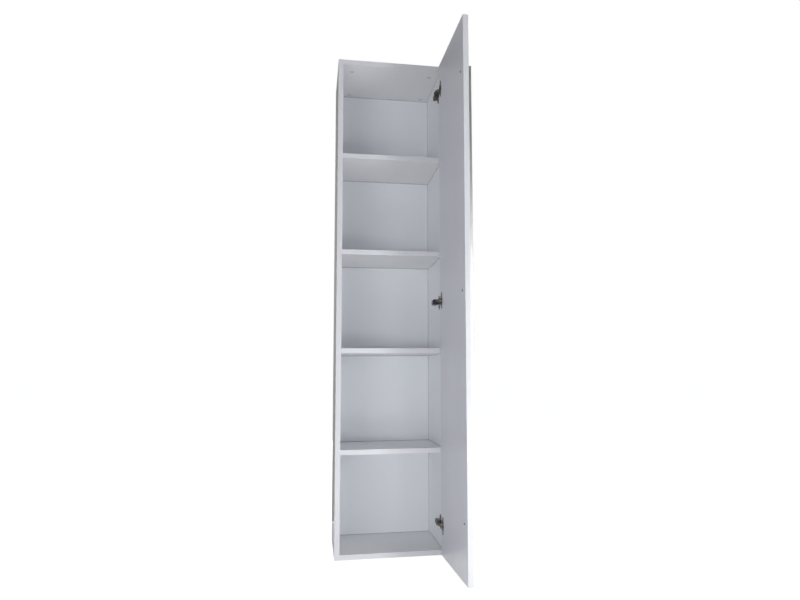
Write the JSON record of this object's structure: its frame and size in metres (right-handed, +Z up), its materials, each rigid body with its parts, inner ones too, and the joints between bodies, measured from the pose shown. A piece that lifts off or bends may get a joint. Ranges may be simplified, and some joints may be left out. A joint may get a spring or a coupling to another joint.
{
  "type": "broom cupboard",
  "caption": "Tall narrow broom cupboard with open shelved compartments, a full-height door on concealed cup hinges and a long extruded grip.",
  "frame": {"origin": "centre of the carcass's base, on the floor", "axes": "+X right, front faces -Y, +Z up; the door is hinged on the right and stands open at rest"},
  "size_m": [0.4167, 0.7229, 1.8],
  "materials": {
    "carcass_board": "white melamine-faced chipboard, smooth satin",
    "door_board": "white gloss faced chipboard",
    "back_board": "white lacquered hardboard",
    "edge_banding": "white ABS edging",
    "grip_aluminium": "satin anodised extrusion",
    "hinge_nickel": "dark nickel plated steel",
    "screw_steel": "zinc plated steel",
    "cam_zinc": "die-cast zinc",
    "dowel_wood": "plain beech",
    "cover_plastic": "white moulded plastic",
    "bumper_rubber": "translucent soft buffer",
    "dark_plastic": "dark moulded plastic"
  },
  "bodies": {
    "carcass": {"adjusting_screws": "screw_steel", "arm_catches": "dark_plastic", "arm_cover_middle": "dark_plastic", "arm_pins": "hinge_nickel", "back_panel": "back_board", "bottom_panel": "carcass_board", "cam_bolts": "screw_steel", "cam_covers": "cover_plastic", "carcass_edge_bands": "edge_banding", "hinge_arm_bottom": "hinge_nickel", "hinge_arm_middle": "hinge_nickel", "hinge_arm_top": "hinge_nickel", "mounting_plate_bottom": "hinge_nickel", "mounting_plate_middle": "hinge_nickel", "mounting_plate_top": "hinge_nickel", "panel_cams": "cam_zinc", "panel_dowels": "dowel_wood", "plate_screws": "screw_steel", "shelf_1": "carcass_board", "shelf_2": "carcass_board", "shelf_3": "carcass_board", "shelf_4": "carcass_board", "shelf_dowels": "dowel_wood", "shelf_edge_bands": "edge_banding", "side_left": "carcass_board", "side_right": "carcass_board", "top_panel": "carcass_board"},
    "outer_links": {"outer_link_bottom": "hinge_nickel", "outer_link_middle": "hinge_nickel", "outer_link_top": "hinge_nickel"},
    "inner_links": {"inner_link_bottom": "hinge_nickel", "inner_link_middle": "hinge_nickel", "inner_link_pins": "hinge_nickel", "inner_link_top": "hinge_nickel"},
    "door": {"cup_pins": "hinge_nickel", "cup_screws": "screw_steel", "door_bumpers": "bumper_rubber", "door_edge_bands": "edge_banding", "door_panel": "door_board", "grip_end_caps": "grip_aluminium", "grip_profile": "grip_aluminium", "grip_screws": "screw_steel", "hinge_cup_bottom": "hinge_nickel", "hinge_cup_middle": "hinge_nickel", "hinge_cup_top": "hinge_nickel"}
  },
  "joints": [
    {"name": "outer_link_turn", "type": "hinge", "parent": "carcass", "child": "outer_links", "pos_m": [0.16265, -0.14604, 0.903], "axis": [0, 0, 1], "range_deg": [-2.75, 28.05]},
    {"name": "door_swing", "type": "hinge", "parent": "outer_links", "child": "door", "pos_m": [0.17769, -0.17495, 0.903], "axis": [0, 0, 1], "range_deg": [-119.2, 11.5]},
    {"name": "inner_link_turn", "type": "hinge", "parent": "carcass", "child": "inner_links", "pos_m": [0.16233, -0.16559, 0.903], "axis": [0, 0, 1], "range_deg": [-1.81, 18.29]}
  ],
  "couplings": [
    {"joint": "outer_link_turn", "follows": "door_swing", "ratio": -0.2349},
    {"joint": "inner_link_turn", "follows": "door_swing", "ratio": -0.15302}
  ]
}
